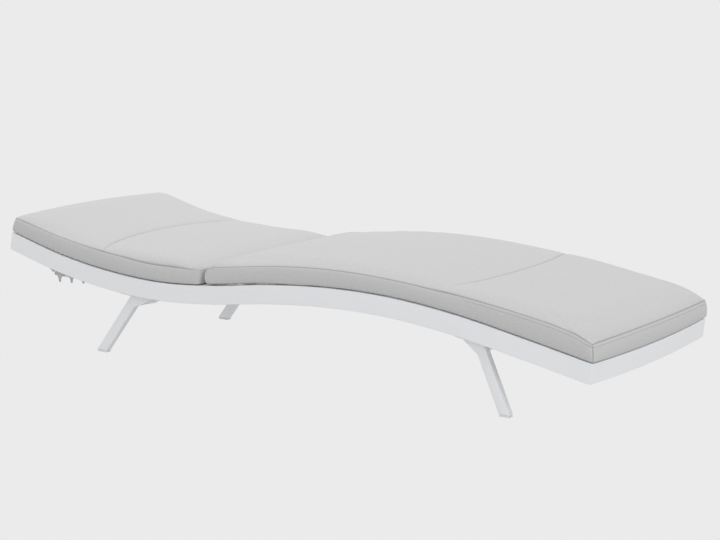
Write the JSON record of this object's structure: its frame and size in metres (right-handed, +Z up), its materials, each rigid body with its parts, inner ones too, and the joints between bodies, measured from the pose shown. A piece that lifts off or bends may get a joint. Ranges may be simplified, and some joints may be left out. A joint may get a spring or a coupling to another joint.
{
  "type": "reclining sun lounger",
  "caption": "Wave-shaped sun lounger with a hollow aluminium frame on splayed legs, a slatted deck, two boxed cushions and a back that lifts on a prop and toothed racks.",
  "frame": {"origin": "on the floor, under the middle of the whole bed", "axes": "+X towards the foot end, +Y to the far side, +Z up"},
  "size_m": [2.038, 0.7, 0.4143],
  "materials": {
    "white_powder_coat": "white powder coat, satin",
    "stainless_steel": "brushed",
    "plastic": "matte",
    "cushion_fabric": "light grey outdoor weave"
  },
  "bodies": {
    "frame": {"foot_leg_crossbar": "white_powder_coat", "foot_leg_glide_left": "plastic", "foot_leg_glide_right": "plastic", "foot_leg_left": "white_powder_coat", "foot_leg_plate_left": "white_powder_coat", "foot_leg_plate_right": "white_powder_coat", "foot_leg_right": "white_powder_coat", "foot_rail": "white_powder_coat", "head_leg_crossbar": "white_powder_coat", "head_leg_glide_left": "plastic", "head_leg_glide_right": "plastic", "head_leg_left": "white_powder_coat", "head_leg_plate_left": "white_powder_coat", "head_leg_plate_right": "white_powder_coat", "head_leg_right": "white_powder_coat", "head_rail": "white_powder_coat", "hinge_bolt_left": "stainless_steel", "hinge_bolt_right": "stainless_steel", "hinge_cross_tube": "white_powder_coat", "hinge_washer_left": "plastic", "hinge_washer_right": "plastic", "prop_lug_left": "white_powder_coat", "prop_lug_right": "white_powder_coat", "prop_pin_left": "stainless_steel", "prop_pin_right": "stainless_steel", "rest_block_left": "plastic", "rest_block_right": "plastic", "seat_cross_tube": "white_powder_coat", "seat_cushion": "cushion_fabric", "seat_slat_01": "white_powder_coat", "seat_slat_02": "white_powder_coat", "seat_slat_03": "white_powder_coat", "seat_slat_04": "white_powder_coat", "seat_slat_05": "white_powder_coat", "seat_slat_06": "white_powder_coat", "seat_slat_07": "white_powder_coat", "seat_slat_08": "white_powder_coat", "seat_slat_09": "white_powder_coat", "seat_slat_10": "white_powder_coat", "seat_slat_11": "white_powder_coat", "side_rail_left": "white_powder_coat", "side_rail_right": "white_powder_coat"},
    "back": {"back_cushion": "cushion_fabric", "back_cushion_fold": "cushion_fabric", "back_head_tube": "white_powder_coat", "back_slat_01": "white_powder_coat", "back_slat_02": "white_powder_coat", "back_slat_03": "white_powder_coat", "back_slat_04": "white_powder_coat", "back_slat_05": "white_powder_coat", "back_slat_06": "white_powder_coat", "back_tail_tube": "white_powder_coat", "back_tube_left": "white_powder_coat", "back_tube_right": "white_powder_coat", "rack_left": "stainless_steel", "rack_right": "stainless_steel"},
    "prop": {"prop_arm_left": "white_powder_coat", "prop_arm_right": "white_powder_coat", "prop_rod": "stainless_steel"}
  },
  "joints": [
    {"name": "back_recline", "type": "hinge", "parent": "frame", "child": "back", "pos_m": [-0.24237, 0, 0.24338], "axis": [0, 1, 0], "range_deg": [0, 54.65], "deforming": ["back_cushion_fold"]},
    {"name": "prop_swing", "type": "hinge", "parent": "frame", "child": "prop", "pos_m": [-0.45898, 0, 0.222], "axis": [0, 1, 0], "range_deg": [0, 77.88]}
  ],
  "couplings": [
    {"joint": "prop_swing", "follows": "back_recline", "ratio": 1.4214}
  ]
}
